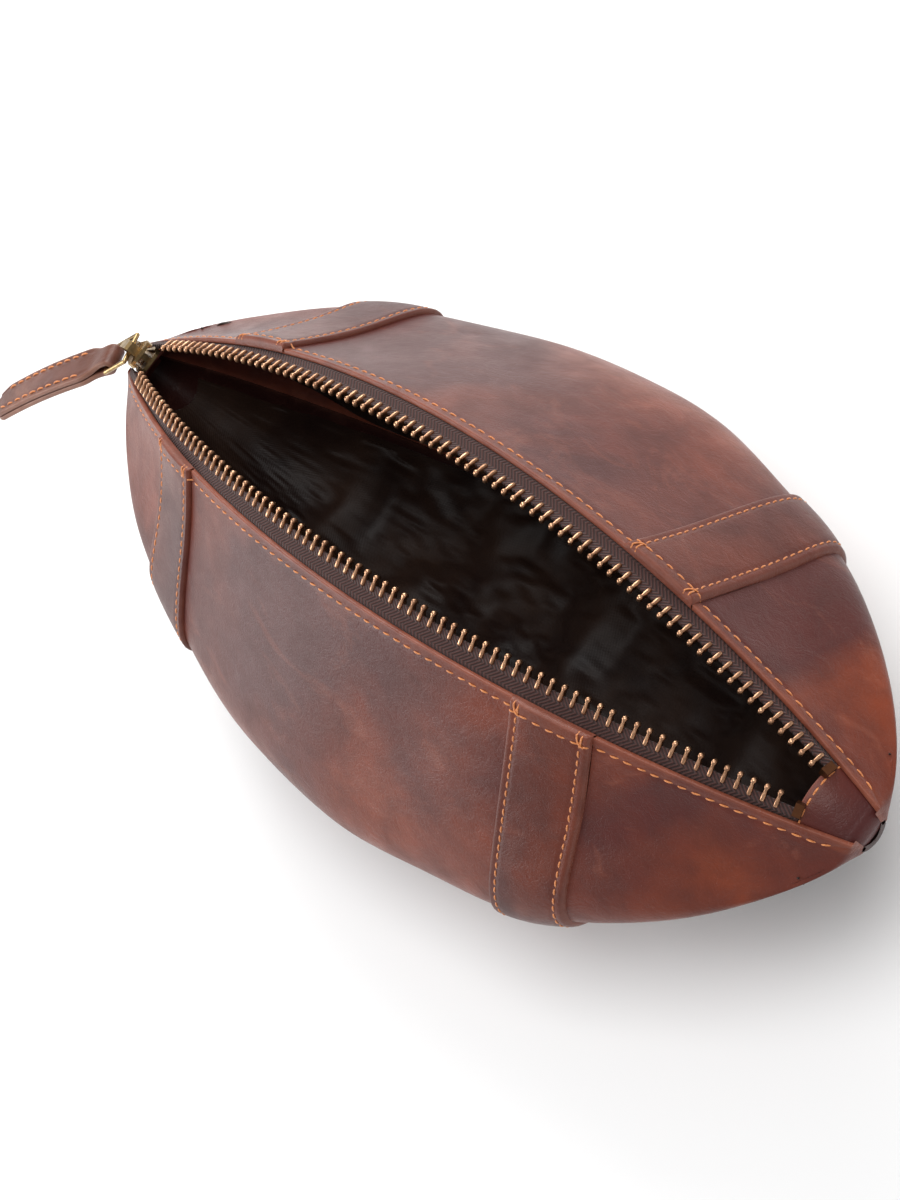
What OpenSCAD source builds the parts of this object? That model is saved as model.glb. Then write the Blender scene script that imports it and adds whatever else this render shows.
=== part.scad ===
// Leather wash bag in the shape of a rugby ball, with its zip open.
// X runs along the bag to the closed end of the zip, -Y is the front, +Z is up.
// The origin is the middle of the flat underside.

/* [Bag body] */
// Length of the leather from tip to tip
body_length = 291; // [265:1:330]
// Width across the bellies of the two side panels
body_width = 150; // [132:1:176]
// Height of the zip axis, which joins the two tips
tip_height = 68; // [60:1:80]
// Height of the leather mouth edge above the zip axis at mid length
edge_rise = 32.5; // [27:0.5:38]
// Half the gap between the leather mouth edges at mid length
mouth_half_gap = 27; // [25:0.5:32]
// Half the gap between the leather mouth edges at the tips
tip_half_gap = 5.5; // [5.2:0.1:6.6]
// Height of a side panel at the tips
tip_depth = 6.4; // [5:0.1:8]
// Half width of the base panel at mid length
base_half_width = 40; // [35:1:46]
// Half width of the base panel at the tips
base_tip_half_width = 5; // [4.5:0.1:5.2]
// Height of the base seam at mid length
seam_height = 1.6; // [1.4:0.1:4]
// How far the shoulder of a side panel reaches outward
shoulder_reach = 52; // [44:1:58]
// How far the shoulder of a side panel falls
shoulder_fall = 58; // [44:1:64]
// How far the belly of a side panel stands above the base seam
belly_rise = 44; // [36:1:52]

/* [Leather and lining] */
// Thickness of the leather
leather_thick = 1.6; // [1.2:0.1:2]
// Thickness of the lining
lining_thick = 0.5; // [0.4:0.1:0.8]
// Clearance between two layers that are sewn together
layer_gap = 0.15; // [0.12:0.01:0.2]
// Clearance between a panel and a band sewn on it
band_gap = 0.25; // [0.22:0.01:0.35]
// Clearance along a seam between two leather pieces
seam_gap = 0.3; // [0.25:0.05:0.5]
// Width of a decorative band
band_width = 23; // [18:0.5:27]
// Thickness of a decorative band
band_thick = 1.3; // [1:0.1:1.8]
// Middle of the right bands along the bag
right_band_x = 72; // [60:1:80]
// Middle of the left bands along the bag
left_band_x = -88; // [-95:1:-70]
// Distance from a tip to the start of an end tab
tab_length = 11; // [9:0.5:12]
// How far the top of an end tab lies below the leather edges
tab_drop = 1.4; // [1.2:0.1:2]

/* [Zip] */
// Distance from the left tip to the start of the chain
slider_end_margin = 11.5; // [11:0.5:14]
// Distance from the right tip to the closed end of the chain
closed_end_margin = 13.5; // [13.5:0.5:23]
// Height of the chain above the zip axis at its ends
chain_end_rise = 8; // [7.5:0.1:9]
// Further height of the chain at mid length
chain_rise = 30; // [25:0.5:33]
// Angle by which each half of the mouth is open
open_angle = 28.6; // [22:0.1:31]
// Distance from the middle plane to a row of teeth when closed
chain_half_gap = 1.5; // [1.3:0.1:1.7]
// Distance between teeth of one row
tooth_pitch = 3.5; // [3.2:0.1:4]
// Width of a tooth along the chain
tooth_width = 1.5; // [1.3:0.05:1.5]
// Length of a tooth across the chain
tooth_length = 4.6; // [4.2:0.1:4.8]
// Thickness of a tooth
tooth_thick = 2.4; // [2:0.1:2.4]
// Thickness of the zip tape
tape_thick = 0.7; // [0.5:0.1:0.8]

/* [Slider and puller] */
// Distance from the start of the chain to the middle of the slider
slider_before_chain = 5.5; // [5.5:0.1:7]
// Length of the slider
slider_length = 10.5; // [9.5:0.1:10.5]
// Width of the slider at its two throats
slider_width = 9.2; // [8.6:0.1:9.4]
// Width of the slider at its tail
slider_tail_width = 6.6; // [6:0.1:7]
// Thickness of a slider plate
plate_thick = 1.1; // [0.9:0.05:1.2]
// Height of the channel between the slider plates
channel_height = 2.8; // [2.7:0.05:3]
// Width of the bridge that holds the link
bridge_width = 3; // [2.6:0.1:3.2]
// Length of the bridge
bridge_length = 6.4; // [6.2:0.1:7]
// Height of the bridge above the top plate
bridge_height = 3.8; // [3.6:0.1:4.4]
// Thickness of the legs and the roof of the bridge
bridge_wall = 1; // [0.8:0.05:1]
// Diameter of the link wire
link_wire = 1.4; // [1.2:0.05:1.6]
// Width inside the link
link_inside = 9.5; // [9:0.1:11]
// Distance between the two cross bars of the link
link_length = 10; // [9.5:0.1:12]
// Angle by which the puller is turned to the front
puller_yaw = 33; // [20:1:36]
// Angle by which the puller hangs below the plane of the link, negative when it stands above it
puller_droop = -5; // [-10:1:15]
// Length of the leather puller beyond the link
puller_length = 52; // [40:1:66]
// Width of the leather puller
puller_width = 13; // [10:0.5:15]
// Thickness of the leather puller
puller_thick = 3.6; // [3:0.1:4]
// Clearance round the link wire in the loop of the puller
loop_gap = 0.35; // [0.3:0.05:0.5]

/* [Hidden] */

leather = [0.42, 0.26, 0.23];
leather_dark = [0.36, 0.21, 0.18];
tape_brown = [0.2, 0.13, 0.11];
lining_black = [0.1, 0.08, 0.07];
copper = [0.72, 0.5, 0.36];
antique_brass = [0.72, 0.66, 0.52];

half_length = body_length / 2;
// Cells of the side panel grid along the bag and down the section
cells_u = 40;
cells_v = 14;
base_cells = 12;
// Power that sets how fast the shoulder and the belly shrink to the tips
belly_power = 0.6;
// Power that sets how the base seam climbs to the tips
seam_power = 2;
// Power that sets how the base seam narrows to the tips
seam_width_power = 0.94;
// Power that sets how the middle of the base climbs to the tips
keel_power = 4;
// Depth by which the flat of the underside cuts into the base curve
flat_cut = 0.8;
big = 600;
zip_start = slider_end_margin - half_length;
zip_end = half_length - closed_end_margin;
slider_x = zip_start - slider_before_chain;

function taper(x) = max(0, 1 - pow(x / half_length, 2));
function arc_share(x, half, rise) =
    let (r = (half * half + rise * rise) / (2 * rise))
    (sqrt(max(0, r * r - x * x)) - (r - rise)) / rise;

// Leather mouth edge
edge_sag = norm([edge_rise, mouth_half_gap - tip_half_gap]);
function edge_share(x) = arc_share(x, half_length, edge_sag);
function edge_y(x) = tip_half_gap + (mouth_half_gap - tip_half_gap) * edge_share(x);
function edge_z(x) = tip_height + edge_rise * edge_share(x);

// Seam between a side panel and the base
tip_seam_height = tip_height - tip_depth;
function seam_y(x) =
    base_tip_half_width + (base_half_width - base_tip_half_width) * pow(taper(x), seam_width_power);
function seam_z(x) =
    seam_height + (tip_seam_height - seam_height) * pow(abs(x) / half_length, seam_power);

// Belly control point, from the body width through the middle of a cubic curve
belly_reach = (4 * body_width - edge_y(0) - 3 * (edge_y(0) + shoulder_reach) - seam_y(0)) / 3
    - seam_y(0);

function cubic(a, b, c, d, t) =
    a * pow(1 - t, 3) + 3 * b * pow(1 - t, 2) * t + 3 * c * (1 - t) * t * t + d * pow(t, 3);
function curve_at(x, t) =
    let (g = pow(taper(x), belly_power),
         a = [edge_y(x), edge_z(x)],
         d = [seam_y(x), seam_z(x)],
         b = a + g * [shoulder_reach, -shoulder_fall],
         c = d + g * [belly_reach, belly_rise])
    cubic(a, b, c, d, t);
// Point of the back panel's outer face, moved inward by a depth
function panel_point(x, t, depth) =
    let (p = curve_at(x, t),
         q = curve_at(x, min(1, t + 0.01)) - curve_at(x, max(0, t - 0.01)),
         n = [q[1], -q[0]] / norm(q),
         m = p + depth * n)
    [x, m[0], m[1]];

function station(i) = half_length * sin(90 * (2 * i / cells_u - 1));
function grid_index(i, j, nv) = i * (nv + 1) + j;

// Closed sheet between two grids of (nu + 1) by (nv + 1) points
module sheet(outer, inner, nu, nv) {
    n = len(outer);
    polyhedron(points = concat(outer, inner), convexity = 6, faces = concat(
        [for (i = [0:nu - 1], j = [0:nv - 1], h = [0, 1])
            let (a = grid_index(i, j, nv), b = grid_index(i + 1, j, nv),
                 c = grid_index(i + 1, j + 1, nv), d = grid_index(i, j + 1, nv))
            h == 0 ? [a, b, c] : [a, c, d]],
        [for (i = [0:nu - 1], j = [0:nv - 1], h = [0, 1])
            let (a = n + grid_index(i, j, nv), b = n + grid_index(i + 1, j, nv),
                 c = n + grid_index(i + 1, j + 1, nv), d = n + grid_index(i, j + 1, nv))
            h == 0 ? [c, b, a] : [d, c, a]],
        [for (i = [0:nu - 1], h = [0, 1])
            let (a = grid_index(i, 0, nv), b = grid_index(i + 1, 0, nv))
            h == 0 ? [b, a, n + a] : [b, n + a, n + b]],
        [for (i = [0:nu - 1], h = [0, 1])
            let (a = grid_index(i, nv, nv), b = grid_index(i + 1, nv, nv))
            h == 0 ? [a, b, n + b] : [a, n + b, n + a]],
        [for (j = [0:nv - 1], h = [0, 1])
            let (a = grid_index(0, j, nv), b = grid_index(0, j + 1, nv))
            h == 0 ? [a, b, n + b] : [a, n + b, n + a]],
        [for (j = [0:nv - 1], h = [0, 1])
            let (a = grid_index(nu, j, nv), b = grid_index(nu, j + 1, nv))
            h == 0 ? [b, a, n + a] : [b, n + a, n + b]]
    ));
}

function layer_grid(stations, first_v, last_v, depth) =
    [for (x = stations, j = [first_v:last_v]) panel_point(x, j / cells_v, depth)];
module side_layer(stations, first_v, last_v, near, far) {
    sheet(layer_grid(stations, first_v, last_v, near), layer_grid(stations, first_v, last_v, far),
        len(stations) - 1, last_v - first_v);
}

module to_front() { mirror([0, 1, 0]) children(); }

// Side panels
module side_panel() {
    side_layer([for (i = [0:cells_u]) station(i)], 0, cells_v, 0, leather_thick);
}
module back_panel() { color(leather) side_panel(); }
module front_panel() { color(leather) to_front() side_panel(); }

// Decorative bands
band_cells = 4;
module band(middle) {
    side_layer([for (i = [0:band_cells]) middle + band_width * (i / band_cells - 0.5)],
        0, cells_v, -band_gap - band_thick, -band_gap);
}
module back_left_band() { color(leather_dark) band(left_band_x); }
module back_right_band() { color(leather_dark) band(right_band_x); }
module front_left_band() { color(leather_dark) to_front() band(left_band_x); }
module front_right_band() { color(leather_dark) to_front() band(right_band_x); }

// Base panel, a lens with a flat underside
keel_tip = tip_seam_height - seam_height;
function keel_z(x) = keel_tip * pow(abs(x) / half_length, keel_power);
function base_z(x, v) =
    let (raw = keel_z(x) + (seam_z(x) - keel_z(x)) * v * v - flat_cut * (1 - v * v))
    max(0, raw);
// Share of the leather thickness by which the sewn edge slants inward
edge_slant = 0.8;
sewn_pull = leather_thick * edge_slant;
function base_half(x, pull) = seam_y(x) - seam_gap - pull;
function base_grid(stations, lift, pull, skip) =
    [for (x = stations, j = [skip:base_cells - skip])
        let (v = 1 - 2 * j / base_cells)
        [x, v * base_half(x, pull), base_z(x, v) + lift]];
module base_panel() {
    stations = [for (i = [0:cells_u]) station(i)];
    color(leather_dark) intersection() {
        sheet(base_grid(stations, leather_thick, sewn_pull, 0),
            base_grid(stations, 0, 0, 0), cells_u, base_cells);
        translate([-big / 2, -big / 2, 0]) cube(big);
    }
}

// Lining, one sheet behind each leather panel
lining_depth = leather_thick + tape_thick + 2 * layer_gap;
lining_cut = 7;
base_lining_skip = 1;
base_lining_lift = leather_thick + 2 * layer_gap;
lining_stations = [for (i = [lining_cut:cells_u - lining_cut]) station(i)];
module side_lining() {
    side_layer(lining_stations, 0, cells_v, lining_depth, lining_depth + lining_thick);
}
module back_lining() { color(lining_black) side_lining(); }
module front_lining() { color(lining_black) to_front() side_lining(); }
module base_lining() {
    color(lining_black)
        sheet(base_grid(lining_stations, base_lining_lift + lining_thick, sewn_pull, base_lining_skip),
            base_grid(lining_stations, base_lining_lift, sewn_pull, base_lining_skip),
            len(lining_stations) - 1, base_cells - 2 * base_lining_skip);
}

// End tabs between the two side panels
tab_segments = 3;
// Length over which a tab turns down at the tip
tab_turn = 1.3;
// Height of a tab's foot above the base seam
tab_foot = 1.6;
// Distance from a tab's outer face to the tip
tab_inset = 0.1;
function tab_half(x) = edge_y(x) - leather_thick - seam_gap;
tab_stations = [for (i = [0:tab_segments])
    half_length - tab_length + (tab_length - tab_turn) * i / tab_segments];
function tab_rows(shift, lift, foot_x) = concat(
    [for (x = tab_stations, s = [-1, 1])
        [x - (x == tab_stations[tab_segments] ? shift : 0), s * tab_half(x),
            edge_z(x) - tab_drop + lift]],
    [for (s = [-1, 1]) [foot_x, s * tab_half(half_length), tip_seam_height + tab_foot]]);
module end_tab() {
    foot_x = half_length - tab_inset;
    sheet(tab_rows(0, 0, foot_x),
        tab_rows(tab_turn / 2, -leather_thick, foot_x - leather_thick), tab_segments + 1, 1);
}
module right_end_tab() { color(leather_dark) end_tab(); }
module left_end_tab() { color(leather_dark) mirror([1, 0, 0]) end_tab(); }

// Zip chain: an arc over the zip axis, turned about it by the opening angle
zip_half = (zip_end - zip_start) / 2;
zip_middle = (zip_end + zip_start) / 2;
chain_radius = (zip_half * zip_half + chain_rise * chain_rise) / (2 * chain_rise);
chain_centre_z = tip_height + chain_end_rise + chain_rise - chain_radius;
function chain_height(x) =
    chain_end_rise + chain_rise * arc_share(x - zip_middle, zip_half, chain_rise);
function chain_point(x) = [x,
    chain_half_gap + chain_height(x) * sin(open_angle),
    tip_height + chain_height(x) * cos(open_angle)];
up_y = sin(open_angle);
up_z = cos(open_angle);

// Tape from the teeth to under the leather edge
tape_cells = 40;
tape_near = leather_thick + layer_gap;
tape_start = tooth_length / 2 + layer_gap;
function tape_row(x, side) =
    let (c = chain_point(x),
         p = panel_point(x, 0, tape_near + tape_thick / 2),
         a = c + tape_start * [0, up_z, -up_y],
         m = (a + p) / 2,
         lift = side * tape_thick / 2 * [0, up_y, up_z],
         depth = tape_near + (side > 0 ? 0 : tape_thick))
    [a + lift, m + lift, panel_point(x, 0, depth), panel_point(x, 1 / cells_v, depth)];
tape_stations = [for (i = [0:tape_cells]) zip_start + (zip_end - zip_start) * i / tape_cells];
module tape() {
    sheet([for (x = tape_stations, p = tape_row(x, 1)) p],
        [for (x = tape_stations, p = tape_row(x, -1)) p], tape_cells, 3);
}
module back_zip_tape() { color(tape_brown) tape(); }
module front_zip_tape() { color(tape_brown) to_front() tape(); }

// Teeth, spaced evenly along the arc, the two rows half a pitch apart
chain_half_angle = asin(zip_half / chain_radius);
pitch_angle = tooth_pitch / chain_radius * 180 / PI;
teeth_count = floor((2 * chain_half_angle - pitch_angle) / pitch_angle);
// Where a tooth's head begins and is widest, and how far it stands out there
head_start = 0.6;
head_widest = 1.2;
head_flare = 0.18;
head_half = tooth_width / 2 + head_flare;
tooth_outline = [
    [-tooth_width / 2, -tooth_length / 2], [tooth_width / 2, -tooth_length / 2],
    [tooth_width / 2, head_start], [head_half, head_widest], [tooth_width / 3, tooth_length / 2],
    [-tooth_width / 3, tooth_length / 2], [-head_half, head_widest], [-tooth_width / 2, head_start]
];
// Moves its children to an angle along the closed chain, then opens the back half
module on_chain(angle) {
    translate([0, chain_half_gap, tip_height]) rotate([-open_angle, 0, 0])
        translate([zip_middle, 0, chain_centre_z - tip_height]) rotate([0, angle, 0])
            translate([0, 0, chain_radius]) children();
}
module tooth() {
    translate([0, 0, -tooth_thick / 2]) linear_extrude(tooth_thick)
        rotate([0, 0, 180]) polygon(tooth_outline);
}
module teeth_row(shift) {
    for (i = [0:teeth_count - 1])
        on_chain((i + 0.5 - teeth_count / 2 + shift) * pitch_angle) tooth();
}
// Share of a pitch by which each row is moved, half a pitch between the rows
row_shift = 0.25;
module back_zip_teeth() { color(copper) teeth_row(row_shift); }
module front_zip_teeth() { color(copper) to_front() teeth_row(-row_shift); }

// Stops at both ends of the chain
stop_length = 2.2;
stop_height = 2.6;
stop_inner_reach = 1.2;
// Pitches from the end of the teeth to a top stop
stop_place = 0.8;
module top_stop() {
    on_chain((teeth_count / 2 + stop_place) * pitch_angle)
        translate([-stop_length / 2, -stop_inner_reach, -stop_height / 2])
            cube([stop_length, stop_inner_reach + tooth_length / 2, stop_height]);
}
module back_top_stop() { color(copper) top_stop(); }
module front_top_stop() { color(copper) to_front() top_stop(); }

// Slider, in its own frame: X towards the closed end, Z away from the bag
slider_angle = asin((slider_x - zip_middle) / chain_radius);
plate_bottom = channel_height / 2;
plate_top = plate_bottom + plate_thick;
module at_slider() {
    translate([zip_middle, 0, chain_centre_z]) rotate([0, slider_angle, 0])
        translate([0, 0, chain_radius]) children();
}
slider_front = slider_length / 2;
slider_half = slider_width / 2;
tail_half = slider_tail_width / 2;
tail_corner = 0.8;
waist_x = -0.5;
// Corners of the slider at its throats: back along it and in from its side
throat_corners = [[0, 1.8], [0.4, 0.5], [1.6, 0]];
half_outline = concat(
    [for (c = throat_corners) [slider_front - c[0], slider_half - c[1]]],
    [[waist_x, tail_half], [tail_corner - slider_front, tail_half],
        [-slider_front, tail_half - tail_corner]]);
corner_count = len(half_outline);
slider_outline = concat(half_outline,
    [for (i = [1:corner_count]) [half_outline[corner_count - i][0], -half_outline[corner_count - i][1]]]);
flange_thick = 0.7;
flange_overrun = 1.2;
tape_slot = 1.2;
// Guide post between the plates: [distance behind the front, half width] at each end
post_front = [0.6, 0.9];
post_back = [3.2, 0.4];
module plate() { linear_extrude(plate_thick) polygon(slider_outline); }
module flanges() {
    linear_extrude(channel_height) difference() {
        polygon(slider_outline);
        scale([flange_overrun, (slider_tail_width - 2 * flange_thick) / slider_tail_width])
            polygon(slider_outline);
    }
}
module slider_body() {
    color(antique_brass) at_slider() {
        translate([0, 0, plate_bottom]) plate();
        translate([0, 0, -plate_top]) plate();
        translate([0, 0, -plate_bottom]) difference() {
            flanges();
            translate([-slider_length, -slider_width, (channel_height - tape_slot) / 2])
                cube([2 * slider_length, 2 * slider_width, tape_slot]);
        }
        translate([0, 0, -plate_bottom]) linear_extrude(channel_height)
            polygon([for (c = [[post_front, -1], [post_front, 1], [post_back, 1], [post_back, -1]])
                [slider_front - c[0][0], c[1] * c[0][1]]]);
    }
}
bridge_corner = 0.8;
module slider_bridge() {
    color(antique_brass) at_slider() translate([0, bridge_width / 2, plate_top])
        rotate([90, 0, 0]) linear_extrude(bridge_width) difference() {
            polygon([[-bridge_length / 2, 0], [bridge_length / 2, 0],
                [bridge_length / 2, bridge_height - bridge_corner],
                [bridge_length / 2 - bridge_corner, bridge_height],
                [bridge_corner - bridge_length / 2, bridge_height],
                [-bridge_length / 2, bridge_height - bridge_corner]]);
            translate([-bridge_length / 2 + bridge_wall, -1])
                square([bridge_length - 2 * bridge_wall, bridge_height - bridge_wall + 1]);
        }
}
// A block that joins the two tapes inside the tail of the slider
bottom_stop_length = 3;
bottom_stop_width = 3.6;
bottom_stop_inset = 0.6;
bottom_stop_gap = 0.3;
module bottom_stop() {
    color(copper) at_slider()
        translate([bottom_stop_inset - slider_front, -bottom_stop_width / 2, bottom_stop_gap - plate_bottom])
            cube([bottom_stop_length, bottom_stop_width, channel_height - 2 * bottom_stop_gap]);
}

// Link, a wire ring whose near bar turns in the bridge
link_height = plate_top + (bridge_height - bridge_wall) / 2;
bar_half = link_inside / 2 + link_wire / 2;
module at_link() { at_slider() translate([0, 0, link_height]) rotate([0, 0, puller_yaw]) children(); }
module wire(length) { cylinder(h = length, d = link_wire, center = true, $fn = 24); }
module pull_link() {
    color(antique_brass) at_link() {
        for (x = [0, -link_length]) translate([x, 0, 0]) rotate([90, 0, 0]) wire(2 * bar_half);
        for (y = [-bar_half, bar_half])
            translate([-link_length / 2, y, 0]) rotate([0, 90, 0]) wire(link_length);
        for (x = [0, -link_length], y = [-bar_half, bar_half])
            translate([x, y, 0]) sphere(d = link_wire, $fn = 24);
    }
}

// Leather puller, folded round the far bar of the link
loop_bore = link_wire + 2 * loop_gap;
loop_side_gap = 0.5;
loop_width = link_inside - 2 * loop_side_gap;
// Where the puller starts, where it reaches its full width, and its cut end corners
neck_start = loop_bore / 2 + 0.4;
neck_bend = [10, 0.6];
neck_end = 14;
end_corner = [3, 2.5];
half_puller = [
    [-neck_start, loop_width / 2], [-neck_bend[0], puller_width / 2 - neck_bend[1]],
    [-neck_end, puller_width / 2], [-puller_length, puller_width / 2],
    [-puller_length - end_corner[0], puller_width / 2 - end_corner[1]]
];
puller_corners = len(half_puller);
puller_outline = concat(half_puller,
    [for (i = [1:puller_corners]) [half_puller[puller_corners - i][0], -half_puller[puller_corners - i][1]]]);
module puller_strap() {
    color(leather) at_link() translate([-link_length, 0, 0]) rotate([0, -puller_droop, 0])
        difference() {
            union() {
                rotate([90, 0, 0]) cylinder(h = loop_width, d = puller_thick, center = true, $fn = 32);
                translate([0, 0, -puller_thick / 2]) linear_extrude(puller_thick) polygon(puller_outline);
            }
            rotate([90, 0, 0]) cylinder(h = 2 * loop_width, d = loop_bore, center = true, $fn = 32);
        }
}

front_panel();
back_panel();
base_panel();
front_left_band();
front_right_band();
back_left_band();
back_right_band();
left_end_tab();
right_end_tab();
front_lining();
back_lining();
base_lining();
front_zip_tape();
back_zip_tape();
front_zip_teeth();
back_zip_teeth();
front_top_stop();
back_top_stop();
bottom_stop();
slider_body();
slider_bridge();
pull_link();
puller_strap();
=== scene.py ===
"""A leather wash bag in the shape of a rugby ball, zip open: the looks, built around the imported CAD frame.

Lengths in the shape code are millimetres in the row frame, and meshes are written in metres.
The front half is the mirror of the back half, so side is +1 for the back (+Y) and -1 for the front.
"""
import math

import bmesh
import bpy
import numpy as np
from mathutils import Matrix, Vector, noise


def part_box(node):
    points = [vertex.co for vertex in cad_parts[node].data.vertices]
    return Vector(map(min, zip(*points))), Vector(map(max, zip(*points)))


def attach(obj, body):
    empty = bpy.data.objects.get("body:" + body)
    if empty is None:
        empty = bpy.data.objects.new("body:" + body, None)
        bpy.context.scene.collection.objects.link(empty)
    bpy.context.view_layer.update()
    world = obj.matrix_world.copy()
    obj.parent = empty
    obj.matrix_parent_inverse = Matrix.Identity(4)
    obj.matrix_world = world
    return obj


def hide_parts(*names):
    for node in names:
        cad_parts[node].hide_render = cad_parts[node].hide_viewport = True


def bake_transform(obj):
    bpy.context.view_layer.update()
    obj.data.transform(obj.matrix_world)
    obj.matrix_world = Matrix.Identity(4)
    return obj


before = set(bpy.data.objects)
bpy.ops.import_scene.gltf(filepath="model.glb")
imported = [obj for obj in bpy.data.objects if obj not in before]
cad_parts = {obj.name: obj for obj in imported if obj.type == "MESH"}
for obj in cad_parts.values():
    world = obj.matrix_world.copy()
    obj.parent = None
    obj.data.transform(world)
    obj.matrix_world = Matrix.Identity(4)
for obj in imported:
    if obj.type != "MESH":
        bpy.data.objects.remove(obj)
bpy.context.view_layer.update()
MM = 0.001
SIDES = {"back": 1, "front": -1}


def node_box(node):
    """Lowest and highest corner of a CAD node, in millimetres."""
    low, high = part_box(node)
    return np.array(low) / MM, np.array(high) / MM


# ---- camera
CAMERA_AZIMUTH, CAMERA_ELEVATION, CAMERA_ROLL = 82.8, 51.8, -47.4
CAMERA_DISTANCE, CAMERA_LENS = 726.0, 81.7
CAMERA_TARGET = np.array([5.8, -9.4, 68.6])


def add_camera():
    a, e, r = (math.radians(v) for v in (CAMERA_AZIMUTH, CAMERA_ELEVATION, CAMERA_ROLL))
    back = Vector((math.sin(a) * math.cos(e), -math.cos(a) * math.cos(e), math.sin(e)))
    level = Vector((math.cos(a), math.sin(a), 0))
    upright = back.cross(level)
    right = level * math.cos(r) + upright * math.sin(r)
    up = upright * math.cos(r) - level * math.sin(r)
    data = bpy.data.cameras.new("camera")
    data.lens = CAMERA_LENS
    data.clip_end = 20
    camera = bpy.data.objects.new("camera", data)
    place = Vector(CAMERA_TARGET * MM) + back * CAMERA_DISTANCE * MM
    turn = Matrix((right, up, back)).transposed().to_4x4()
    camera.matrix_world = Matrix.Translation(place) @ turn
    bpy.context.scene.collection.objects.link(camera)
    bpy.context.scene.camera = camera


# ---- the bag's shape, as in the CAD
HALF_LENGTH = node_box("back_panel")[1][0]
TIP_HEIGHT, EDGE_RISE = 68.0, 32.5
MOUTH_HALF_GAP, TIP_HALF_GAP, TIP_DEPTH = 27.0, 5.5, 6.4
BASE_HALF_WIDTH, BASE_TIP_HALF_WIDTH, SEAM_HEIGHT = 40.0, 5.0, 1.6
SHOULDER_REACH, SHOULDER_FALL, BELLY_RISE, BODY_WIDTH = 52.0, 58.0, 44.0, 150.0
BELLY_POWER, SEAM_POWER, SEAM_WIDTH_POWER, KEEL_POWER, FLAT_CUT = 0.6, 2.0, 0.94, 4, 0.8
LEATHER, LAYER_GAP, BAND_GAP, BAND_THICK, BAND_WIDTH = 1.6, 0.15, 0.25, 1.3, 23.0
BAND_MIDDLES = {"left": -88.0, "right": 72.0}
TAPE_THICK, TOOTH_PITCH = 0.7, 3.5
ZIP_START, ZIP_END, CHAIN_END_RISE, CHAIN_RISE = -134.0, 132.0, 8.0, 30.0
OPEN_ANGLE, CHAIN_HALF_GAP = math.radians(28.6), 1.5


def taper(x):
    return np.maximum(0, 1 - (x / HALF_LENGTH) ** 2)


def arc_share(x, half, rise):
    r = (half * half + rise * rise) / (2 * rise)
    return (np.sqrt(np.maximum(0, r * r - x * x)) - (r - rise)) / rise


EDGE_SAG = math.hypot(EDGE_RISE, MOUTH_HALF_GAP - TIP_HALF_GAP)


def edge_y(x):
    return TIP_HALF_GAP + (MOUTH_HALF_GAP - TIP_HALF_GAP) * arc_share(x, HALF_LENGTH, EDGE_SAG)


def edge_z(x):
    return TIP_HEIGHT + EDGE_RISE * arc_share(x, HALF_LENGTH, EDGE_SAG)


def seam_y(x):
    return BASE_TIP_HALF_WIDTH + (BASE_HALF_WIDTH - BASE_TIP_HALF_WIDTH) * taper(x) ** SEAM_WIDTH_POWER


def seam_z(x):
    rise = TIP_HEIGHT - TIP_DEPTH - SEAM_HEIGHT
    return SEAM_HEIGHT + rise * (np.abs(x) / HALF_LENGTH) ** SEAM_POWER


SHOULDER_Y = MOUTH_HALF_GAP + SHOULDER_REACH
BELLY_REACH = (4 * BODY_WIDTH - MOUTH_HALF_GAP - 3 * SHOULDER_Y - BASE_HALF_WIDTH) / 3 - BASE_HALF_WIDTH


def curve(x, t):
    """(y, z) on the outer face of the back panel, t from 0 at the mouth to 1 at the base seam."""
    g = taper(x) ** BELLY_POWER
    ay, az, dy, dz = edge_y(x), edge_z(x), seam_y(x), seam_z(x)
    by, bz = ay + g * SHOULDER_REACH, az - g * SHOULDER_FALL
    cy, cz = dy + g * BELLY_REACH, dz + g * BELLY_RISE
    w = ((1 - t) ** 3, 3 * t * (1 - t) ** 2, 3 * (1 - t) * t * t, t ** 3)
    return w[0] * ay + w[1] * by + w[2] * cy + w[3] * dy, w[0] * az + w[1] * bz + w[2] * cz + w[3] * dz


SAMPLES = np.linspace(0, 1, 240)


class Section:
    """One cross-section of a side panel: points by their distance from the mouth edge."""

    def __init__(self, x):
        self.x = x
        y, z = curve(np.full(SAMPLES.shape, float(x)), SAMPLES)
        self.y, self.z = y, z
        self.s = np.concatenate([[0], np.cumsum(np.hypot(np.diff(y), np.diff(z)))])
        self.length = self.s[-1]
        dy, dz = np.gradient(y), np.gradient(z)
        n = np.maximum(np.hypot(dy, dz), 1e-9)
        self.ty, self.tz = dy / n, dz / n

    def point(self, s, lift, side):
        """Point at distance s from the mouth edge, lift outside the leather's outer face."""
        s = np.asarray(s, float)
        q = np.clip(s, 0, self.length)
        y, z = np.interp(q, self.s, self.y), np.interp(q, self.s, self.z)
        ty, tz = np.interp(q, self.s, self.ty), np.interp(q, self.s, self.tz)
        n = np.hypot(ty, tz)
        ty, tz = ty / n, tz / n
        over = s - q
        up = lift + relief(self.x, q, self.length, side)
        return np.stack([np.full(s.shape, float(self.x)),
                         side * (y + over * ty - up * tz), z + over * tz + up * ty], -1)


def relief(x, s, length, side):
    """Soft dents and swells of the worn leather, zero at the mouth and at the base seam."""
    t = s / max(length, 1)
    fade = np.sin(np.pi * np.clip(t, 0, 1)) * min(1.0, taper(x) * 3)
    wave = (0.9 * np.sin(x / 31 + 1.7 * side) * np.sin(4.4 * t + 0.8 * side)
            + 0.7 * np.sin(x / 17 - 2.1 * t + 2.3 * side)
            + 0.45 * np.sin(x / 9.5 + 5.5 * t - side) * np.sin(7 * t))
    return fade * wave - 0.6 * fade


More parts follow.
